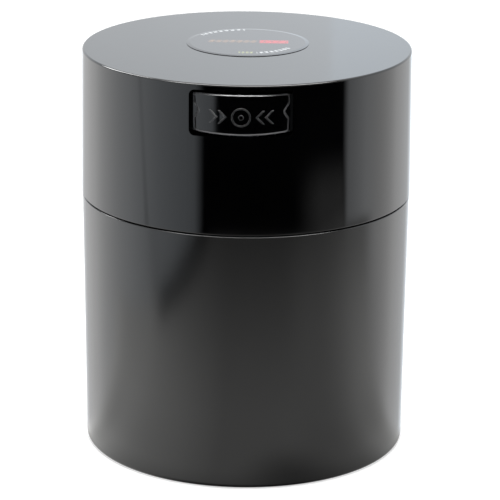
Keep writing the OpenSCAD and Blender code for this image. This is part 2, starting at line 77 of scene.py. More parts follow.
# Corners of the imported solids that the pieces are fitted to
_, cup_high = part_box("canister_body")
lid_low, lid_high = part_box("lid_shell")
badge_low, badge_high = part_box("lid_badge")
button_low, button_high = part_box("press_button")
_, insert_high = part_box("lid_insert")
seal_low, seal_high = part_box("seal_ring")
spring_low, spring_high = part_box("valve_spring")


# Settings


def length(description, millimetres):
    """A length in the sidebar, given in millimetres and kept in metres."""
    return FloatProperty(
        description=description, default=millimetres * MM,
        min=0.0, unit="LENGTH", subtype="DISTANCE", precision=5,
    )


def colour(of, rgb):
    """A colour in the sidebar."""
    return FloatVectorProperty(
        description=f"Colour of the {of}", default=rgb, size=3, min=0.0, max=1.0,
        subtype="COLOR",
    )


def count(description, number, least=1):
    """A whole number in the sidebar."""
    return IntProperty(description=description, default=number, min=least, max=1024)


def angle(description, degrees):
    """An angle in the sidebar, given in degrees and kept in radians."""
    return FloatProperty(
        description=description, default=math.radians(degrees),
        unit="ROTATION", subtype="ANGLE", precision=4,
    )


class CupSettings(bpy.types.PropertyGroup):
    """Sizes and colour of the cup."""

    colour: colour("cup's satin plastic", (0.0022, 0.0022, 0.0022))
    draft: length("Loss of radius at the base", 0.85)
    seam: length("Height of the seam under the lid's rim", 0.62)
    neck_wall: length("Thickness of the neck at its rim", 1.8)
    bore_draft: length("Loss of the bore's radius at the floor", 0.4)
    hollow: length("Depth of the hollow under the base", 1.5)
    floor: length("Thickness of the floor", 3.0)
    foot: length("Width of the ring that the cup stands on", 6.0)
    base_round: length("Rounding of the base's outer edge", 1.7)
    shoulder_round: length("Rounding of the shoulder's edge", 0.35)
    rim_round: length("Rounding of the neck's rim", 0.7)
    bowl_round: length("Rounding between the floor and the bore", 4.0)
    gate: length("Radius of the moulding mark under the base", 2.4)
    steps: count("Faces round the cup", 256, 48)


class LidSettings(bpy.types.PropertyGroup):
    """Sizes and colour of the lid."""

    colour: colour("lid's gloss plastic", (0.0004, 0.0004, 0.0005))
    top: length("Thickness of the top", 2.2)
    skirt: length("Thickness of the skirt at its rim", 1.6)
    skirt_top: length("Thickness of the skirt under the top", 1.9)
    draft: length("Loss of radius at the top", 0.55)
    neck_gap: length("Clearance between the skirt and the neck", 0.35)
    edge_round: length("Rounding of the top edge", 0.7)
    rim_round: length("Rounding of the rim", 0.3)
    sill: length("Gap under the button", 0.45)
    side: length("Gap beside the button", 1.35)
    window_round: length("Rounding of the window's corners", 2.0)
    leg_count: count("Number of snap legs", 6)
    leg_width: length("Width of a snap leg", 7.0)
    leg: length("Thickness of a snap leg", 1.8)
    nose: length("Reach of a leg's nose", 1.6)
    rib: length("Thickness of a rib", 1.4)
    steps: count("Faces round the lid", 256, 48)


class ButtonSettings(bpy.types.PropertyGroup):
    """Sizes and colour of the push button."""

    # Grey of the button's edges: partly wear, partly a painted highlight where the edges catch light
    worn_and_highlit: colour("button's rubbed edges", (0.09, 0.09, 0.094))
    width: length("Width of the face", 33.8)
    depth: length("Thickness of the face", 2.0)
    taper: length("Loss of half width at the lower edge", 0.5)
    sag: length("Sag of the lower edge in its middle", 0.8)
    arch: length("Rise of the upper edge in its middle", 0.05)
    notch: length("Depth of the notch in each end", 1.6)
    notch_height: length("Height of the notch at its mouth", 5.0)
    notch_rise: length("Height of the notch over the middle", 1.0)
    face_curve: length("Radius of the face, rounder than the lid", 37.0)
    corner: length("Rounding of the outline's corners", 1.2)
    slope: length("Width of the face's sloped edge", 0.55)
    stop: length("Thickness of the stop plate", 1.8)
    fork_gap: length("Half of the space between the arms", 3.7)
    arm_width: length("Width of an arm", 3.6)
    arm_height: length("Height of an arm", 4.6)
    arm_tip: length("Height of an arm's end", 0.6)
    arm_rise: length("Height of the arms over the lower edge", 0.65)
    sign: length("Radius of the raised ring", 3.4)
    sign_dot: length("Radius of the dot in the ring", 0.9)
    sign_gap: length("Gap between the ring and a chevron", 1.6)
    sign_arm: length("Width and half height of a chevron", 2.4)
    sign_step: length("Distance between two chevrons", 3.2)
    sign_drop: length("Drop of the sign under the middle", 0.7)
    sign_line: length("Width of the sign's lines", 0.55)
    sign_rise: length("Height of the sign over the face", 0.25)


class BadgeSettings(bpy.types.PropertyGroup):
    """Colours of the badge on the lid."""

    film: colour("badge's film", (0.012, 0.012, 0.014))
    tan: colour("row of beans", (0.16, 0.09, 0.05))
    red: colour("bar", (0.33, 0.02, 0.03))
    grey: colour("dashes", (0.36, 0.37, 0.38))
    olive: colour("small mark", (0.16, 0.17, 0.07))


class InsideSettings(bpy.types.PropertyGroup):
    """Colours and sizes of the pieces inside the lid."""

    insert: colour("insert's plastic", (0.012, 0.012, 0.013))
    silicone: colour("seal ring", (0.68, 0.68, 0.65))
    natural: colour("valve's plastic", (0.76, 0.75, 0.70))
    steel: colour("wire and screws", (0.60, 0.60, 0.61))
    insert_rise: length("Height of the insert over the neck", 1.3)
    insert_wall: length("Thickness of the insert's wall", 1.8)
    groove: length("Depth of the seal ring's groove", 1.6)
    band_gap: length("Gap between the band and the wall", 0.3)
    wire: length("Thickness of the spring's wire", 0.7)
    turns: count("Turns of the spring", 7)


class StudioSettings(bpy.types.PropertyGroup):
    """Camera of the stage."""

    lens: FloatProperty(description="Focal length in millimetres", default=192.907)
    distance: length("Level distance of the camera from the axis", 956.69)
    rise: length("Height of the camera over the floor", 371.14)
    turn: angle("Turn of the camera round the axis", 1.85)
    pitch: angle("Slope at which the camera looks down", 17.384)
    yaw: angle("Angle between the view and the axis", 0.101)
    roll: angle("Lean of the camera", 0.5155)


# Finishes


class Signal:
    """A socket of a finish. Arithmetic on it adds Math nodes: see the loop below it."""

    def __init__(self, finish, socket):
        self.finish = finish
        self.socket = socket

    def math(self, operation, *values):
        return self.finish.node("Math", {"operation": operation}, list(values))

    def __neg__(self):
        return self.math("MULTIPLY", self, -1.0)

    def __abs__(self):
        return self.math("ABSOLUTE", self)

    def root(self):
        return self.math("SQRT", self)

    def sine(self):
        return self.math("SINE", self)

    def angle_to(self, other):
        """Angle of the point (other, self) round the origin."""
        return self.math("ARCTAN2", self, other)

    def either(self, other):
        """The larger of two masks."""
        return self.math("MAXIMUM", self, other)

    def ranged(self, low, high, first, last, kind="SMOOTHSTEP"):
        """The first value below low, the last above high."""
        return self.finish.node(
            "MapRange", {"interpolation_type": kind},
            {"Value": self, "From Min": low, "From Max": high, "To Min": first, "To Max": last},
        )

    def rise(self, low, high):
        """0 below low, 1 above high, smooth between."""
        return self.ranged(low, high, 0.0, 1.0)

    def fall(self, low, high):
        """1 below low, 0 above high, smooth between."""
        return self.ranged(low, high, 1.0, 0.0)

    def climb(self, low, high):
        """0 below low, 1 above high, straight between."""
        return self.ranged(low, high, 0.0, 1.0, "LINEAR")

    def within(self, low, full, ebb, high):
        """1 from full to ebb, 0 below low and above high, smooth between."""
        return self.rise(low, full) * self.fall(ebb, high)


for word, operation in (
        ("add", "ADD"), ("sub", "SUBTRACT"), ("mul", "MULTIPLY"), ("truediv", "DIVIDE")):
    setattr(Signal, f"__{word}__", lambda this, other, kind=operation: this.math(kind, this, other))
    setattr(Signal, f"__r{word}__", lambda this, other, kind=operation: this.math(kind, other, this))


class Finish:
    """The node tree of a material or a world, and the one way nodes are added to it."""

    def __init__(self, owner):
        owner.use_nodes = True
        self.owner = owner
        self.tree = owner.node_tree
        self.tree.nodes.clear()

    def node(self, kind, settings=None, values=None, output=0):
        """Adds a shader node: first its settings, then the values or links of its sockets."""
        made = self.tree.nodes.new("ShaderNode" + kind)
        for name, setting in (settings or {}).items():
            if name == "stops":
                ramp = made.color_ramp
                while len(ramp.elements) < len(setting):
                    ramp.elements.new(1.0)
                for stop, (place, shade) in zip(ramp.elements, setting):
                    stop.position = place
                    stop.color = (*shade, 1.0)
            else:
                setattr(made, name, setting)
        pairs = enumerate(values) if isinstance(values, list) else (values or {}).items()
        for key, value in pairs:
            socket = made.inputs[key]
            if isinstance(value, Signal):
                self.tree.links.new(value.socket, socket)
            elif socket.type == "RGBA" and len(value) == 3:
                socket.default_value = (*value, 1.0)
            else:
                socket.default_value = value
        return Signal(self, made.outputs[output]) if made.outputs else None

    def place(self):
        """Place on the piece, in metres."""
        return self.node("TexCoord", output="Object")

    def split(self, vector):
        """The three parts of a vector."""
        parts = self.node("SeparateXYZ", None, [vector]).socket.node.outputs
        return [Signal(self, part) for part in parts]

    def noise(self, scale, detail=2.0, rough=0.5, distortion=0.0):
        """Cloudy values from 0 to 1."""
        return self.node(
            "TexNoise", None,
            {"Vector": self.place(), "Scale": scale, "Detail": detail, "Roughness": rough,
             "Distortion": distortion},
        )

    def tint(self, mask, first, second):
        """The first colour where the mask is 0, the second where it is 1."""
        return self.node(
            "Mix", {"data_type": "RGBA"}, {0: mask, 6: first, 7: second}, output=2
        )

    def bump(self, height, distance):
        """Relief of a distance in metres."""
        return self.node(
            "Bump", None,
            {"Height": height, "Distance": distance, "Strength": 1.0}, output="Normal",
        )

    def surface(self, tone, rough, relief, fixed=None):
        """Ends a material in one surface. Fixed holds plain numbers for its other sockets."""
        sockets = {"Base Color": tone, "Roughness": rough, "Normal": relief, "IOR": 1.5}
        shader = self.node("BsdfPrincipled", None, {**sockets, **(fixed or {})})
        self.node("OutputMaterial", None, {"Surface": shader})
        return self.owner


def shaded(rgb, factor):
    """A colour made lighter or darker."""
    return tuple(part * factor for part in rgb)


def grey(level):
    """A colour without a hue."""
    return (level, level, level)


def new_finish(name):
    """The finish of a new, empty material."""
    return Finish(bpy.data.materials.new(name))


def gloss_plastic(name, base):
    """High-gloss moulded plastic: almost black, with a trace of flow and handling."""
    f = new_finish(name)
    cloud = f.noise(24.0, 3.0)
    tone = f.tint(cloud.rise(0.3, 0.7), base, shaded(base, 1.5))
    rough = 0.045 + cloud.rise(0.45, 0.75) * 0.03 + f.noise(420.0) * 0.012
    relief = f.bump(f.noise(160.0, 1.0), 0.004 * MM)
    return f.surface(tone, rough, relief)


def worn_and_highlit_plastic(name, base, edge):
    """Gloss plastic with grey edges: patches of wear, and also a painted highlight where the edges
    catch light, lightest below a height.
    """
    f = new_finish(name)
    _, _, z = f.split(f.place())
    soft = 0.5 * MM
    worn = f.noise(900.0, 3.0).rise(0.3, 0.7)
    tone = f.tint(worn, shaded(base, 0.6), base)
    # Painted highlight: lighter below a height, where the button's lower edge catches light
    tone = f.tint((z - edge).fall(-soft, soft), tone, shaded(base, 1.8))
    rough = 0.12 + worn * 0.12
    relief = f.bump(f.noise(3000.0), 0.004 * MM)
    return f.surface(tone, rough, relief)


def satin_plastic(name, base, rough_low=0.12, grain=0.008):
    """Satin moulded plastic: the fine even grain of an eroded mould."""
    f = new_finish(name)
    cloud = f.noise(30.0, 3.0)
    pits = f.noise(2600.0, 3.0, 0.6)
    tone = f.tint(cloud, base, shaded(base, 1.6))
    rough = rough_low + cloud * 0.04 + pits.rise(0.35, 0.65) * 0.02
    relief = f.bump(pits, grain * MM)
    return f.surface(tone, rough, relief)


def silicone_rubber(name, base):
    """Milky silicone: soft sheen, a few flow marks."""
    f = new_finish(name)
    cloud = f.noise(60.0, 3.0)
    tone = f.tint(cloud.rise(0.3, 0.7), shaded(base, 0.93), base)
    rough = 0.42 + cloud * 0.12
    relief = f.bump(f.noise(1500.0), 0.006 * MM)
    depth = {"IOR": 1.41, "Subsurface Weight": 0.25, "Subsurface Scale": 2.0 * MM}
    return f.surface(tone, rough, relief, depth)


def natural_plastic(name, base):
    """Uncoloured moulded plastic, slightly waxy."""
    f = new_finish(name)
    cloud = f.noise(180.0)
    tone = f.tint(cloud.rise(0.3, 0.7), shaded(base, 0.94), base)
    rough = 0.33 + cloud * 0.1
    relief = f.bump(f.noise(2200.0), 0.005 * MM)
    depth = {"IOR": 1.48, "Subsurface Weight": 0.15, "Subsurface Scale": 1.5 * MM}
    return f.surface(tone, rough, relief, depth)


def drawn_steel(name, base):
    """Bright drawn wire and turned screw heads, with fine die marks."""
    f = new_finish(name)
    marks = f.noise(2400.0, distortion=1.5)
    tone = f.tint(marks, shaded(base, 0.82), base)
    rough = 0.2 + marks.rise(0.3, 0.8) * 0.18
    relief = f.bump(marks, 0.004 * MM)
    return f.surface(tone, rough, relief, {"Metallic": 1.0})


# Modelling


def clear_selection():
    """Leaves edit mode and deselects everything."""
    if bpy.context.object and bpy.context.object.mode != "OBJECT":
        bpy.ops.object.mode_set(mode="OBJECT")
    bpy.ops.object.select_all(action="DESELECT")


def choose(piece):
    """Makes a piece the only selected one and the active one."""
    clear_selection()
    piece.select_set(True)
    bpy.context.view_layer.objects.active = piece


def edit():
    bpy.ops.object.mode_set(mode="EDIT")


def leave():
    bpy.ops.object.mode_set(mode="OBJECT")


def take_all():
    bpy.ops.mesh.select_all(action="SELECT")


def pick(kind, test):
    """Selects, in edit mode, the vertices, edges or faces that pass a test."""
    bpy.ops.mesh.select_mode(type=kind)
    bpy.ops.mesh.select_all(action="DESELECT")
    mesh = bpy.context.edit_object.data
    shape = bmesh.from_edit_mesh(mesh)
    for part in {"VERT": shape.verts, "EDGE": shape.edges, "FACE": shape.faces}[kind]:
        part.select = test(part)
    shape.select_flush(True)
    bmesh.update_edit_mesh(mesh)


def start(name, at):
    """A new piece in edit mode: one vertex, in place."""
    clear_selection()
    bpy.ops.mesh.primitive_plane_add(size=MM, location=at)
    piece = bpy.context.object
    piece.name = piece.data.name = name
    bpy.ops.object.transform_apply(location=True, rotation=False, scale=False)
    edit()
    bpy.ops.mesh.select_mode(type="VERT")
    take_all()
    bpy.ops.mesh.merge(type="CENTER")
    return piece


def draw(name, corners, to_place, closed):
    """Draws an outline corner by corner, and rounds the corners that have a radius.

    A corner is (across, up, radius); to_place turns across and up into a place.
    """
    spots = [to_place(across, up) for across, up, _ in corners]
    piece = start(name, spots[0])
    for here, there in zip(spots, spots[1:]):
        bpy.ops.mesh.extrude_vertices_move(
            TRANSFORM_OT_translate={"value": there - here}
        )
    if closed:
        ends = (spots[0], spots[-1])
        pick("VERT", lambda vertex: min((vertex.co - end).length for end in ends) < TINY)
        bpy.ops.mesh.edge_face_add()
    for i, (_, _, radius) in enumerate(corners):
        at_end = i in (0, len(spots) - 1)
        if not radius or (at_end and not closed):
            continue
        before = (spots[i] - spots[i - 1]).normalized()
        after = (spots[(i + 1) % len(spots)] - spots[i]).normalized()
        turn = before.angle(after)
        pick("VERT", lambda vertex: (vertex.co - spots[i]).length < TINY)
        bpy.ops.mesh.bevel(
            offset=radius * math.tan(turn / 2), offset_type="OFFSET",
            segments=max(2, round(math.degrees(turn) / 11)), affect="VERTICES",
            clamp_overlap=False,
        )
    return piece


def section(across, up):
    """Place of a point in the XZ plane."""
    return Vector((across, 0.0, up))


def finish_mesh(piece):
    """Merges doubles, turns the faces outwards and smooths the shallow edges."""
    if piece.mode != "EDIT":
        choose(piece)
        edit()
    take_all()
    bpy.ops.mesh.remove_doubles(threshold=TINY / 4)
    bpy.ops.mesh.normals_make_consistent(inside=False)
    leave()
    bpy.ops.object.shade_smooth_by_angle(angle=SHARP)
    use(piece, "WEIGHTED_NORMAL", {"keep_sharp": True})
    return piece


def revolve(name, corners, steps, closed=False, centre=ORIGIN, axis=UPWARD, to_place=section):
    """Turns a section round an axis through a centre."""
    piece = draw(name, corners, lambda across, up: to_place(across, up) + centre, closed)
    take_all()
    bpy.ops.mesh.spin(steps=steps, angle=2 * math.pi, center=centre, axis=axis)
    return finish_mesh(piece)


def slab(name, corners, to_place, depth):
    """A closed outline, filled and pushed along a vector. It stays in edit mode."""
    piece = draw(name, corners, to_place, True)
    take_all()
    bpy.ops.mesh.edge_face_add()
    bpy.ops.mesh.extrude_region_move(TRANSFORM_OT_translate={"value": depth})
    take_all()
    bpy.ops.mesh.normals_make_consistent(inside=False)
    return piece


def fin(name, corners, thickness):
    """An upright plate in the plane through the canister's axis and +X."""
    half = thickness / 2
    plate = slab(name, corners, lambda across, up: Vector((across, -half, up)),
                 BACKWARD * thickness)
    return finish_mesh(plate)


def round_edges(test, offset, segments):
    """Bevels the edges, in edit mode, that pass a test."""
    pick("EDGE", test)
    bpy.ops.mesh.bevel(
        offset=offset, offset_type="OFFSET", segments=segments, affect="EDGES",
        clamp_overlap=False,
    )


def block(name, low, high, rounding=0.0):
    """A box between two corners. Its edges from front to back can be rounded."""
    low, high = Vector(low), Vector(high)
    clear_selection()
    bpy.ops.mesh.primitive_cube_add(size=1.0, location=(low + high) / 2)
    piece = bpy.context.object
    piece.name = piece.data.name = name
    piece.scale = high - low
    bpy.ops.object.transform_apply(location=True, rotation=False, scale=True)
    if rounding:
        edit()
        depth = high.y - low.y
        round_edges(lambda line: abs(line.verts[1].co.y - line.verts[0].co.y) > depth / 2,
                    rounding, 6)
        leave()
    return piece


def use(piece, kind, settings):
    """Adds a modifier, sets it and applies it."""
    choose(piece)
    modifier = piece.modifiers.new(kind, kind)
    for key, value in settings.items():
        setattr(modifier, key, value)
    bpy.ops.object.modifier_apply(modifier=modifier.name)


def combine(piece, tool, operation):
    """Cuts, adds or intersects a tool piece, which is used up."""
    use(piece, "BOOLEAN", {"operation": operation, "object": tool, "solver": "EXACT"})
    bpy.data.objects.remove(tool)


def copied(piece, moved):
    """A copy of a piece with its own mesh, moved by a matrix."""
    choose(piece)
    bpy.ops.object.duplicate(linked=False)
    copy = bpy.context.object
    copy.matrix_world = moved
    bpy.ops.object.transform_apply(location=True, rotation=True, scale=False)
    return copy


def paint(piece, material):
    """Gives a piece one material and takes the others away."""
    piece.data.materials.clear()
    piece.data.materials.append(material)


def dress(piece, body, material, node):
    """Gives a piece its finish and its body, and hides the CAD node that it stands for."""
    paint(piece, material)
    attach(piece, body)
    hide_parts(node)


# Pieces


def skirt_inside(lid, height):
    """Radius of the skirt's inner face at a height."""
    ceiling = lid_high.z - lid.top
    low = lid_high.x - lid.skirt
    high = lid_high.x - lid.draft - lid.skirt_top
    return low + (high - low) * (height - lid_low.z) / (ceiling - lid_low.z)


class CANISTER_OT_cup(bpy.types.Operator):
    """Adds the cup: hollow base, drafted wall, shoulder and neck"""

    bl_idname = "canister.cup"
    bl_label = "Cup"

    def execute(self, context):
        s = context.scene.canister_cup
        lid = context.scene.canister_lid
        rim = cup_high.z
        shoulder = lid_low.z - s.seam
        base = cup_high.x - s.draft
        foot = base - s.base_round - s.foot
        floor = s.hollow + s.floor
        neck = skirt_inside(lid, rim) - lid.neck_gap
        bore = neck - s.neck_wall
        gate_rise = s.gate / 8
        crease = s.shoulder_round
        cup = revolve("cup", [
            (0.0, s.hollow - gate_rise, 0.0),
            (s.gate - gate_rise, s.hollow - gate_rise, gate_rise / 2),
            (s.gate, s.hollow, gate_rise / 2),
            (foot - s.hollow, s.hollow, s.hollow / 2),
            (foot, 0.0, crease),
            (base, 0.0, s.base_round),
            (cup_high.x, shoulder, s.shoulder_round),
            (skirt_inside(lid, shoulder) - lid.neck_gap, shoulder, crease),
            (neck, rim, s.rim_round),
            (bore, rim, s.rim_round),
            (bore - s.bore_draft, floor, s.bowl_round),
            (0.0, floor, 0.0),
        ], s.steps)
        dress(cup, "canister", satin_plastic("satin_black", s.colour),
              "canister_body")
        return {"FINISHED"}


def join_copy(lid, piece, share):
    """Joins a copy of a leg or rib to the lid, at a share of a turn."""
    combine(lid, copied(piece, Matrix.Rotation(share * 2 * math.pi, 4, "Z")), "UNION")


def make_leg(s, inside, ceiling):
    """Leg inside the insert's wall, with a nose that snaps outwards and a web behind it."""
    outer = insert_high.x - inside.insert_wall - s.rim_round
    inner = outer - s.leg
    high = ceiling + s.rim_round
    nose_top = cup_high.z + inside.insert_rise - s.nose * 2.5
    nose_low = nose_top - s.nose * 0.75
    end = nose_top - s.leg * 2
    soft = s.leg / 8
    leg = fin("leg", [
        (inner, high, 0.0), (outer, high, 0.0), (outer, nose_top, 0.0),
        (outer + s.nose, nose_top, soft), (outer + s.nose, nose_low, soft),
        (outer - s.leg / 3, end, soft), (inner, end, soft),
    ], s.leg_width)
    reach = inner - s.leg * 2
    web = fin("web", [
        (reach, high, 0.0), (reach, ceiling - s.rib, soft),
        (inner + soft, ceiling - s.leg_width * 1.7, 0.0), (inner + soft, high, 0.0),
    ], s.rib)
    combine(leg, web, "UNION")
    return leg


def make_rib(s, inside, ceiling):
    """Rib that presses on the insert's wall and stops just over the neck's rim."""
    high = ceiling + s.rim_round
    inner = insert_high.x - inside.insert_wall - s.rib
    bore = skirt_inside(s, cup_high.z) - s.neck_gap - s.leg
    step = (insert_high.x + bore) / 2
    insert_top = cup_high.z + inside.insert_rise
    rest = cup_high.z + s.rim_round
    return fin("rib", [
        (inner, high, 0.0), (inner, insert_top, s.rib / 4), (step, insert_top, 0.0),
        (step, rest, 0.0), (skirt_inside(s, rest) + s.rim_round, rest, 0.0),
        (skirt_inside(s, ceiling) + s.rim_round, high, 0.0),
    ], s.rib)


class CANISTER_OT_lid(bpy.types.Operator):
    """Adds the lid shell with its window, snap legs and ribs"""

    bl_idname = "canister.lid"
    bl_label = "Lid"

    def execute(self, context):
        s = context.scene.canister_lid
        inside = context.scene.canister_inside
        button = context.scene.canister_button
        ceiling = lid_high.z - s.top
        lid = revolve("lid", [
            (0.0, ceiling, 0.0),
            (skirt_inside(s, ceiling), ceiling, s.skirt / 2),
            (skirt_inside(s, lid_low.z), lid_low.z, s.rim_round / 2),
            (lid_high.x, lid_low.z, s.rim_round),
            (lid_high.x - s.draft, lid_high.z, s.edge_round),
            (0.0, lid_high.z, 0.0),
        ], s.steps)
        half = button.width / 2 + s.side
        sill = button_low.z - s.sill
        window = block("window", (-half, -lid_high.x - s.leg_width, sill),
                       (half, -lid_high.x + s.leg_width, ceiling - TINY), s.window_round)
        combine(lid, window, "DIFFERENCE")
        finish_mesh(lid)
        leg = make_leg(s, inside, ceiling)
        for i in range(s.leg_count):
            join_copy(lid, leg, i / s.leg_count)
        bpy.data.objects.remove(leg)
        rib = make_rib(s, inside, ceiling)
        behind_button = 0.75
        for i in range(s.leg_count):
            place = (i + 0.5) / s.leg_count
            if abs(place - behind_button) > 1.0 / s.steps:
                join_copy(lid, rib, place)
        bpy.data.objects.remove(rib)
        finish_mesh(lid)
        dress(lid, "lid", gloss_plastic("gloss_black", s.colour), "lid_shell")
        return {"FINISHED"}


def face_front(s):
    """Place of the face's middle along Y."""
    return button_low.y + s.sign_rise


def face_fall(s, across):
    """How far the bowed face lies behind its middle."""
    return s.face_curve - math.sqrt(s.face_curve ** 2 - across ** 2)


def bow(piece, s):
    """Bends a flat piece back round the face's radius."""
    for vertex in piece.data.vertices:
        vertex.co.y += face_fall(s, vertex.co.x)
    piece.data.update()


def face_outline(s):
    """Corners of the face: sill, right end with its notch, lintel and left end."""
    low, high = button_low.z, button_high.z
    notch = (low + high) / 2 + s.notch_rise
    mouth = s.notch_height / 2
    soft = s.corner * 0.6

    def end(height):
        """Half width of the face at a height."""
        return s.width / 2 - s.taper * (high - height) / (high - low)

    right = [
        (end(low), low + s.sag, s.corner),
        (end(notch - mouth), notch - mouth, soft),
        (end(notch) - s.notch, notch, soft),
        (end(notch + mouth), notch + mouth, soft),
        (end(high), high - s.arch, s.corner),
    ]
    steps = 16
    sill, lintel = [], []
    for i in range(1, steps):
        share = 2 * i / steps - 1
        sill.append((end(low) * share, low + s.sag * share ** 2, 0.0))
        lintel.append((-end(high) * share, high - s.arch * share ** 2, 0.0))
    left = [(-across, up, radius) for across, up, radius in reversed(right)]
    return sill + right + lintel + left


def make_face(s):
    """The face: an outline with a sloped edge all round, bowed."""
    front = face_front(s)
    tilt, bend = math.radians(38.0), 0.3
    edge = front + s.slope * math.tan(tilt)
    face = slab("button", face_outline(s), lambda across, up: Vector((across, edge, up)),
                BACKWARD * (s.depth - edge + front))
    pick("FACE", lambda part: part.calc_center_median().y < edge + TINY)
    bpy.ops.mesh.inset(thickness=s.slope, depth=edge - front)
    lintel = button_high.z - s.arch - 2 * s.slope

    def bends(line, place):
        """Tells whether an edge lies at a place along Y and bends the surface there."""
        return (all(abs(vertex.co.y - place) < TINY for vertex in line.verts)
                and line.calc_face_angle(0.0) > bend)

    def is_high(line):
        return min(vertex.co.z for vertex in line.verts) > lintel

    round_edges(lambda line: bends(line, front) and not is_high(line), s.slope * 0.7, 5)
    round_edges(lambda line: bends(line, front) and is_high(line), s.slope * 0.15, 2)
    round_edges(lambda line: bends(line, edge), s.slope * 0.25, 2)
    cuts = 32
    for i in range(1, cuts):
        take_all()
        bpy.ops.mesh.bisect(plane_co=((i / cuts - 0.5) * s.width, 0.0, 0.0),
                            plane_no=(1.0, 0.0, 0.0))
    leave()
    bow(face, s)
    return finish_mesh(face)


def make_sign(s):
    """Ring round a dot, between two pairs of chevrons that point at it."""
    height = (button_low.z + button_high.z) / 2 - s.sign_drop
    middle = Vector((0.0, face_front(s), height))
    deep, soft = -2 * s.sign_rise, s.sign_rise / 2
    inner = s.sign - s.sign_line

    def outwards(across, out):
        return Vector((across, -out, 0.0))

    ring = revolve("ring", [
        (inner, deep, 0.0), (s.sign, deep, 0.0),
        (s.sign, s.sign_rise, soft), (inner, s.sign_rise, soft),
    ], steps=72, closed=True, centre=middle, axis=BACKWARD, to_place=outwards)
    dot = revolve("dot", [
        (0.0, s.sign_rise, 0.0), (s.sign_dot, s.sign_rise, soft),
        (s.sign_dot, deep, 0.0), (0.0, deep, 0.0),
    ], steps=48, centre=middle, axis=BACKWARD, to_place=outwards)
    near = make_chevron(s, middle, s.sign + s.sign_gap, deep, soft)
    far = copied(near, Matrix.Translation((s.sign_step, 0.0, 0.0)))
    turned = (Matrix.Translation(middle) @ Matrix.Rotation(math.pi, 4, "Y")
              @ Matrix.Translation(-middle))
    marks = [ring, dot, near, far, copied(near, turned), copied(far, turned)]
    for mark in marks:
        bow(mark, s)
    return marks


def make_chevron(s, middle, tip, deep, soft):
    """A chevron whose tip points at the sign's middle, from the right."""
    arm = s.sign_arm
    wide = s.sign_line / math.sin(math.radians(45.0))
    proud = middle.y - s.sign_rise
    chevron = slab("chevron", [
        (tip, 0.0, 0.0), (tip + arm, arm, 0.0), (tip + arm + wide, arm, 0.0),
        (tip + wide, 0.0, 0.0), (tip + arm + wide, -arm, 0.0), (tip + arm, -arm, 0.0),
    ], lambda across, up: Vector((across, proud, middle.z + up)),
        BACKWARD * (s.sign_rise - deep))
    round_edges(lambda line: all(vertex.co.y < proud + TINY for vertex in line.verts),
                soft, 3)
    return finish_mesh(chevron)


def make_stop_plate(s, outer):
    """Plate behind the skirt that keeps the button in its window."""
    inner, soft = outer - s.stop, s.stop / 6
    low, high = button_low.z + s.stop / 2, button_high.z - s.stop / 6
    plate = revolve("stop", [
        (inner, low, soft), (outer, low, soft), (outer, high, soft), (inner, high, soft),
    ], steps=256, closed=True)
    combine(plate, block("span", (-button_high.x, -outer - s.stop, low - s.stop),
                         (button_high.x, -outer / 2, high + s.stop)), "INTERSECT")
    return plate


def make_arm(s, root):
    """The fork's right arm. Its end slopes at the rate at which the button lifts the valve."""
    lift = frame["record"]["behaviour"]["couplings"][0]["ratio"]
    low = button_low.z + s.arm_rise
    high = low + s.arm_height
    tip, soft = button_high.y, s.arm_tip / 3
    slope = tip - (s.arm_height - s.arm_tip) / lift
    return finish_mesh(slab("arm", [
        (root, low, 0.0), (tip, low, soft), (tip, low + s.arm_tip, 0.0),
        (slope, high, soft), (root, high, 0.0),
    ], lambda along, up: Vector((s.fork_gap, along, up)), Vector((s.arm_width, 0.0, 0.0))))


def make_web(s, root):
    """Web between the arms, just behind the stop plate."""
    reach = s.fork_gap + s.arm_width / 2
    low = button_low.z + s.arm_rise + s.arm_tip / 3
    depth, thickness = s.arm_width * 2.8, s.arm_width / 2
    return block("web", (-reach, root, low), (reach, root + depth, low + thickness))


def paint_worn_and_highlit_edges(piece, s):
    """Gives the edges of the face and of the sign a grey finish: partly wear, partly a painted
    highlight.
    """
    edge = button_low.z + s.sag + s.slope
    piece.data.materials.append(worn_and_highlit_plastic("worn_and_highlit_black", s.worn_and_highlit, edge))
    # Cosines between a face's direction and straight ahead, for the steepest and the flattest
    steep, flat = 0.3, 0.97
    for face in piece.data.polygons:
        across = face.center.x
        if abs(across) > s.width / 2:
            continue
        ahead = Vector((across, face_fall(s, across) - s.face_curve, 0.0)).normalized()
        behind = face.center.y - face_front(s) - face_fall(s, across)
        if behind < s.slope and steep < face.normal.dot(ahead) < flat:
            face.material_index = 1


class CANISTER_OT_button(bpy.types.Operator):
    """Adds the push button: bowed notched face, raised sign and the fork behind it"""

    bl_idname = "canister.button"
    bl_label = "Push button"

    def execute(self, context):
        s = context.scene.canister_button
        lid = context.scene.canister_lid
        button = make_face(s)
        for mark in make_sign(s):
            combine(button, mark, "UNION")
        stop_outer = skirt_inside(lid, button_high.z) - lid.rim_round
        combine(button, make_stop_plate(s, stop_outer), "UNION")
        root = -stop_outer + s.stop / 4
        arm = make_arm(s, root)
        across = Matrix.Translation((-2 * s.fork_gap - s.arm_width, 0.0, 0.0))
        combine(button, copied(arm, across), "UNION")
        combine(button, arm, "UNION")
        combine(button, make_web(s, root), "UNION")
        finish_mesh(button)
        dress(button, "button", bpy.data.materials["gloss_black"], "press_button")
        paint_worn_and_highlit_edges(button, s)
        return {"FINISHED"}


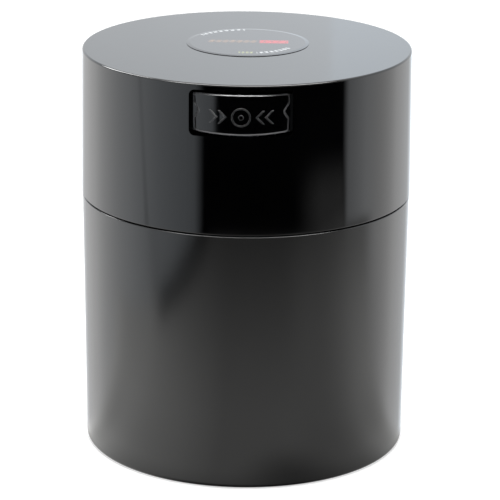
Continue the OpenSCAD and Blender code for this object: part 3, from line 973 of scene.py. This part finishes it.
def print_film(s, radius, middle):
    """Black film with a row of beans, a bar, a small mark and two arcs of dashes.

    Places and sizes of the print are shares of the badge's radius.
    """
    f = new_finish("badge_print")
    x, y, _ = f.split(f.place())
    x, y = x / radius, (y - middle.y) / radius
    away, bearing = (x * x + y * y).root(), y.angle_to(x)
    soft = 0.004
    row, lean, wave = 0.036, 0.28, 54.0
    bean_count, first_bean, bean_step = 7, -0.587, 0.1133
    bean_width, bean_height = 0.0453, 0.1044
    bar_place, bar_width, bar_height, slot_height = 0.427, 0.231, 0.102, 0.053
    mark_place, mark_width, mark_height, mark_wave = -0.751, 0.12, 0.058, 94.5

    def near(value, target, half):
        """1 where a value is within half of its target, 0 elsewhere."""
        return (abs(value - target) - half).fall(0.0, soft)

    def bean(across):
        """A leaning bean with a wavy crease."""
        u = (x - across - (y - row) * lean) / bean_width
        v = (y - row) / bean_height
        crease = abs(u - 0.3 * (v * 3.0).sine()).fall(0.1, 0.28)
        return (u * u + v * v).fall(0.84, 1.0) * (1.0 - crease)

    def arc(reach, half_height, turn, half_turn):
        """A part of a ring round the middle."""
        return near(away, reach, half_height) * near(bearing, turn, half_turn)

    beans = bean(first_bean)
    for i in range(1, bean_count):
        beans = beans.either(bean(first_bean + i * bean_step))
    slots = ((x - y * lean) * wave).sine().rise(0.9, 0.97) * near(y, row, slot_height)
    bar = near(x, bar_place, bar_width) * near(y, row, bar_height) * (1.0 - slots)
    mark = near(x, 0.0, mark_width) * near(y, mark_place, mark_height)
    mark = mark * (x * mark_wave).sine().rise(-0.6, -0.3)
    arcs = arc(0.898, 0.033, 2.13, 0.47).either(arc(0.773, 0.042, -0.92, 0.43))
    arcs = arcs * (bearing * wave).sine().rise(-0.35, -0.1)
    tone = f.tint(f.noise(40.0), s.film, shaded(s.film, 1.4))
    for mask, ink in ((arcs, s.grey), (beans, s.tan), (mark, s.olive), (bar, s.red)):
        tone = f.tint(mask, tone, ink)
    inked = arcs.either(beans).either(bar).either(mark)
    rough = 0.08 + inked * 0.12
    relief = f.bump(inked, 0.01 * MM)
    return f.surface(tone, rough, relief)


class CANISTER_OT_badge(bpy.types.Operator):
    """Adds the printed badge on the lid"""

    bl_idname = "canister.badge"
    bl_label = "Badge"

    def execute(self, context):
        s = context.scene.canister_badge
        radius = badge_high.x
        middle = Vector((0.0, (badge_low.y + badge_high.y) / 2, 0.0))
        thickness = badge_high.z - badge_low.z
        badge = revolve("badge", [
            (0.0, badge_low.z, 0.0),
            (radius, badge_low.z, 0.0),
            (radius, badge_low.z + thickness * 0.6, thickness / 30),
            (radius * 0.94, badge_high.z - thickness / 15, radius / 20),
            (0.0, badge_high.z, 0.0),
        ], steps=192, centre=middle)
        dress(badge, "lid", print_film(s, radius, middle), "lid_badge")
        return {"FINISHED"}


def make_seal_ring(s):
    """A band in the insert's groove with two lips that reach the cup's bore."""
    inner = insert_high.x - s.groove
    band = insert_high.x - s.band_gap
    tip = seal_high.x
    low, high = seal_low.z, seal_high.z
    lip = (high - low) / 15
    soft = lip / 2
    corners = [(inner, low, soft), (band, low, soft)]
    for root in (low + 1.5 * lip, high - 5.75 * lip):
        corners += [
            (band, root, soft),
            (tip, root + 2 * lip, lip / 3),
            (tip, root + 3 * lip, lip / 3),
            (band, root + 4.25 * lip, soft),
        ]
    corners += [(band, high, soft), (inner, high, soft)]
    return revolve("seal", corners, steps=256, closed=True)


class CANISTER_OT_inside(bpy.types.Operator):
    """Finishes the insert, its screen and the air valve, and adds the seal ring"""

    bl_idname = "canister.inside"
    bl_label = "Insert and valve"

    def execute(self, context):
        s = context.scene.canister_inside
        insert = satin_plastic("insert_black", s.insert, 0.26, 0.01)
        silicone = silicone_rubber("milky_silicone", s.silicone)
        finishes = {
            "lid_insert": insert,
            "vent_screen": insert,
            "valve_housing": insert,
            "housing_screws": drawn_steel("bright_steel", s.steel),
            "valve_spindle": natural_plastic("natural_white", s.natural),
            "valve_washer": silicone,
        }
        for node, material in finishes.items():
            paint(frame["nodes"][node], material)
        dress(make_seal_ring(s), "lid", silicone, "seal_ring")
        return {"FINISHED"}


class CANISTER_OT_spring(bpy.types.Operator):
    """Adds the valve's coil spring"""

    bl_idname = "canister.spring"
    bl_label = "Valve spring"

    def execute(self, context):
        s = context.scene.canister_inside
        radius = (spring_high.x - spring_low.x - s.wire) / 2
        middle = (spring_low + spring_high) / 2
        middle.z = spring_low.z + s.wire / 2
        clear_selection()
        bpy.ops.mesh.primitive_circle_add(
            vertices=10, radius=s.wire / 2, location=middle + Vector((radius, 0.0, 0.0)),
            rotation=(math.pi / 2, 0.0, 0.0),
        )
        spring = bpy.context.object
        spring.name = spring.data.name = "spring"
        bpy.ops.object.transform_apply(location=True, rotation=True, scale=False)
        edit()
        take_all()
        bpy.ops.mesh.edge_face_add()
        turn_steps = 36
        climb = (spring_high.z - spring_low.z - s.wire) / (s.turns * turn_steps)
        for _ in range(s.turns * turn_steps):
            bpy.ops.mesh.extrude_region_move(
                TRANSFORM_OT_translate={"value": (0.0, 0.0, climb)}
            )
            bpy.ops.transform.rotate(
                value=2 * math.pi / turn_steps, orient_axis="Z", center_override=middle
            )
        finish_mesh(spring)
        dress(spring, "lid", bpy.data.materials["bright_steel"], "valve_spring")
        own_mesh(spring)
        return {"FINISHED"}


# Stage


def make_floor(foot):
    """A floor that the camera sees as white, with the canister's shadow.

    Gloss looks through it, except where a bright sheet lies round the canister; the sheet's light
    has painted shadows in it.
    """
    clear_selection()
    bpy.ops.mesh.primitive_circle_add(
        vertices=96, radius=6.0, fill_type="NGON", location=(0.0, 0.0, 0.0)
    )
    floor = bpy.context.object
    floor.name = "floor"
    f = new_finish("floor")
    x, y, _ = f.split(f.place())
    light, covered = sheet_light(x, y, foot)
    diffuse = f.node("BsdfDiffuse", None, {"Color": grey(0.6)})
    glow = f.node("Emission", None, {"Color": grey(1.0), "Strength": 0.5})
    seen = f.node("AddShader", None, [diffuse, glow])
    clear = f.node("BsdfTransparent")
    lit = f.node("Emission", None, {"Color": (1.0, 1.0, 0.985), "Strength": light})
    mirrored = f.node("MixShader", None, [covered, clear, lit])
    glossy = f.node("LightPath", output="Is Glossy Ray")
    both = f.node("MixShader", None, [glossy, seen, mirrored])
    f.node("OutputMaterial", None, {"Surface": both})
    paint(floor, f.owner)


def sheet_light(x, y, foot):
    """Light of the sheet that gloss mirrors from the floor, and where the sheet lies.

    Reach is the distance from the axis in metres. Side is the angle from the front,
    positive to the right. Each gain or loss says between which values it sets in, and
    ends in its amount.
    """
    reach = (x * x + y * y).root()
    side = x.angle_to(-y)
    left = -side
    # Middle of the canister's painted shadow on the sheet, in front and to the right
    shadow_spot_x, shadow_spot_y = x - 0.025, y + 0.064
    shadow_spot = (shadow_spot_x * shadow_spot_x + shadow_spot_y * shadow_spot_y).root()
    full, fade_start, fade, least = 0.96, 0.13, 2.64, 0.3
    ahead = 1.0 - reach.climb(0.18, 0.33) * 0.2
    aside = 0.83 + reach.climb(0.09, 0.24) * 0.35
    turned = side.rise(0.4, 0.75).either(left.rise(0.45, 1.1))
    gains = {
        "left": left.climb(0.17, 1.05) * 1.3,
        "left end": left.rise(1.35, 1.6) * 0.35,
        "right": side.rise(0.2, 0.8) * 0.06,
        "right end": side.rise(0.8, 1.75) * 1.32,
    }
    # The canister's painted shadow on the sheet in front; the sheet is also darker at its ends near
    # the cup and at its right end
    losses = {
        "spot in front": shadow_spot.fall(0.0, 0.036) * 0.6,
        "ends near the cup": abs(side).rise(1.15, 1.4) * reach.fall(0.09, 0.17) * 0.16,
        "right end": side.rise(1.2, 1.6) * 0.18,
    }
    # Painted shadows at the foot: a dark contact line, darkest in front, and a fainter shade further
    # out
    foot_shadows = {
        "contact": reach.fall(foot - 1.4 * MM, foot + 4.1 * MM)
        * (0.4 + abs(side).fall(0.2, 0.8) * 0.6),
        "round the foot": reach.fall(foot + 0.1 * MM, foot + 18.1 * MM) * 0.2,
    }
    light = full - (reach - fade_start).either(0.0) * fade
    light = light * (ahead + turned * (aside - ahead)) * (1.0 + sum(gains.values()))
    for loss in losses.values():
        light = light * (1.0 - loss)
    light = light.either(least)
    for loss in foot_shadows.values():
        light = light * (1.0 - loss)
    # The sheet ends in front, behind, and on the left along a slanted line, drawn as a dark strip
    line = (x + 0.158) * 0.97 + (y + 0.303) * 0.2425
    near = reach.fall(0.375, 0.405)
    covered = near * abs(side).fall(1.45, 1.7) * line.rise(-0.012, 0.0)
    far = reach.fall(0.44, 0.56) * side.within(0.55, 0.95, 1.15, 1.25)
    covered = covered.either(far)
    dark_strip_half = 0.01 - (y + 0.1) * 0.06
    dark_strip = near * (abs(line) - dark_strip_half).fall(0.0, 0.01) * y.fall(-0.16, -0.12)
    shown = covered.either(dark_strip)
    return light * (covered / (shown + 0.001)) * (1.0 - dark_strip), shown


def make_surroundings(scene):
    """White to the camera; to gloss, bright walls at the sides and back, dark in front."""
    scene.world = bpy.data.worlds.new("studio")
    f = Finish(scene.world)
    x, y, z = f.split(f.node("TexCoord", output="Generated"))
    # Half turns from the front, positive to the right, and the share of a turn from the back
    turn = x.angle_to(-y) / math.pi
    place = (turn + 1.0) * 0.5
    aside = abs(turn)
    # Place, lightness and blueness of the walls round the room
    room = (
        (0.0, 0.37, 0.05), (0.014, 0.33, 0.04), (0.07, 0.265, 0.01), (0.10, 0.36, 0.0),
        (0.145, 0.49, 0.0), (0.20, 0.52, 0.01), (0.26, 0.495, 0.03), (0.297, 0.43, 0.04),
        (0.33, 0.36, 0.05), (0.385, 0.28, 0.06), (0.405, 0.25, 0.06), (0.424, 0.0, 0.0),
        (0.70, 0.0, 0.0), (0.713, 0.32, 0.03), (0.758, 0.44, 0.02), (0.80, 0.43, 0.0),
        (0.86, 0.45, 0.0), (0.93, 0.26, 0.02), (0.98, 0.365, 0.07), (1.0, 0.395, 0.07),
    )
    stops = [
        (where, (tone * (1.0 - blue), tone, tone * (1.0 + blue))) for where, tone, blue in room
    ]
    walls = f.node("ValToRGB", {"stops": stops}, {"Fac": place})
    corner = abs(place - 0.294 + (z + 0.245) * 0.34).fall(0.001, 0.008)
    up = z.either(0.1)
    # Where each part of the room lies, over those before it, and its colour
    areas = {
        "slanted corner": (corner * (0.15 + (-z).rise(0.24, 0.33) * 0.35), grey(0.0)),
        "upper side walls": (
            z.rise(0.02, 0.12) * aside.within(0.42, 0.5, 0.9, 0.94), (0.35, 0.365, 0.38)),
        "level band in front": (
            z.within(-0.14, -0.1, 0.1, 0.2) * aside.fall(0.42, 0.5), grey(0.25)),
        "ceiling": (z.rise(0.62, 0.72), grey(0.5)),
        "box over the front": (
            (x / up).within(-0.95, -0.8, 1.0, 1.15)
            * (y / up).within(-0.6, -0.57, -0.22, -0.16), grey(5.2)),
        "box on the left": (
            abs(turn + 0.68).fall(0.035, 0.055) * z.within(0.42, 0.46, 0.8, 0.84), grey(6.0)),
    }
    for mask, shade in areas.values():
        walls = f.tint(mask, walls, shade)
    seen = f.node("Background", None, {"Color": walls, "Strength": 4.0})
    ambient = f.node("Background", None, {"Color": (0.5, 0.5, 0.51), "Strength": 1.0})
    white = f.node("Background", None, {"Color": grey(1.0), "Strength": 1.0})
    camera, glossy = (
        f.node("LightPath", output=f"Is {ray} Ray") for ray in ("Camera", "Glossy")
    )
    light = f.node("MixShader", None, [glossy, ambient, seen])
    both = f.node("MixShader", None, [camera, light, white])
    f.node("OutputWorld", None, {"Surface": both})


def make_lamp(name, place, aim, width, height, power):
    """A soft box aimed at a height on the axis. Neither the camera nor the gloss sees it."""
    clear_selection()
    bpy.ops.object.light_add(type="AREA", location=place)
    lamp = bpy.context.object
    lamp.name = name
    lamp.data.shape = "RECTANGLE"
    lamp.data.size, lamp.data.size_y = width, height
    lamp.data.energy = power
    towards = UPWARD * aim - Vector(place)
    lamp.rotation_euler = towards.to_track_quat("-Z", "Y").to_euler()
    lamp.visible_camera = False
    lamp.visible_glossy = False


def make_camera(scene, s):
    """The photograph's viewpoint, turned so that the button lies where it does there."""
    clear_selection()
    bpy.ops.object.camera_add()
    camera = bpy.context.object
    camera.name = "camera"
    camera.matrix_world = (
        Matrix.Rotation(s.turn, 4, "Z") @ Matrix.Translation((0.0, -s.distance, s.rise))
        @ Matrix.Rotation(-s.yaw, 4, "Z") @ Matrix.Rotation(math.pi / 2 - s.pitch, 4, "X")
        @ Matrix.Rotation(s.roll, 4, "Z")
    )
    camera.data.sensor_width = 36.0
    camera.data.lens = s.lens
    camera.data.clip_start, camera.data.clip_end = 0.05, 50.0
    scene.camera = camera


class CANISTER_OT_stage(bpy.types.Operator):
    """Adds the floor, the lamps, the surroundings and the camera"""

    bl_idname = "canister.stage"
    bl_label = "Stage"

    def execute(self, context):
        scene = context.scene
        make_floor(cup_high.x - scene.canister_cup.draft)
        make_surroundings(scene)
        make_lamp("overhead", (0.0, 0.0, 0.95), aim=0.1, width=0.62, height=0.62, power=10.0)
        make_lamp("left", (-0.95, 0.1, 0.55), aim=0.08, width=0.5, height=0.7, power=4.0)
        make_lamp("right", (0.95, 0.15, 0.55), aim=0.08, width=0.5, height=0.7, power=3.0)
        make_camera(scene, scene.canister_studio)
        scene.view_settings.view_transform = "Standard"
        return {"FINISHED"}


class CANISTER_PT_sidebar(bpy.types.Panel):
    """Lists the canister's pieces and their sizes"""

    bl_idname = "CANISTER_PT_sidebar"
    bl_label = "Canister"
    bl_space_type = "VIEW_3D"
    bl_region_type = "UI"
    bl_category = "Canister"

    def draw(self, context):
        for operator, group in PIECES:
            box = self.layout.box()
            box.operator(operator.bl_idname)
            settings = getattr(context.scene, group)
            for name in settings.bl_rna.properties.keys():
                if name not in ("rna_type", "name"):
                    box.prop(settings, name, text=name.replace("_", " ").capitalize())


GROUPS = {
    "canister_cup": CupSettings,
    "canister_lid": LidSettings,
    "canister_button": ButtonSettings,
    "canister_badge": BadgeSettings,
    "canister_inside": InsideSettings,
    "canister_studio": StudioSettings,
}

PIECES = (
    (CANISTER_OT_cup, "canister_cup"),
    (CANISTER_OT_lid, "canister_lid"),
    (CANISTER_OT_button, "canister_button"),
    (CANISTER_OT_badge, "canister_badge"),
    (CANISTER_OT_inside, "canister_inside"),
    (CANISTER_OT_spring, "canister_inside"),
    (CANISTER_OT_stage, "canister_studio"),
)


def register():
    """Registers the settings, the operators and the panel."""
    for name, group in GROUPS.items():
        bpy.utils.register_class(group)
        setattr(bpy.types.Scene, name, PointerProperty(type=group))
    for operator, _ in PIECES:
        bpy.utils.register_class(operator)
    bpy.utils.register_class(CANISTER_PT_sidebar)


def unregister():
    """Takes everything away again."""
    bpy.utils.unregister_class(CANISTER_PT_sidebar)
    for operator, _ in reversed(PIECES):
        bpy.utils.unregister_class(operator)
    for name, group in reversed(list(GROUPS.items())):
        delattr(bpy.types.Scene, name)
        bpy.utils.unregister_class(group)


def main():
    """Makes every piece and the stage."""
    register()
    bpy.ops.canister.cup()
    bpy.ops.canister.lid()
    bpy.ops.canister.button()
    bpy.ops.canister.badge()
    bpy.ops.canister.inside()
    bpy.ops.canister.spring()
    bpy.ops.canister.stage()


if __name__ == "__main__":
    main()
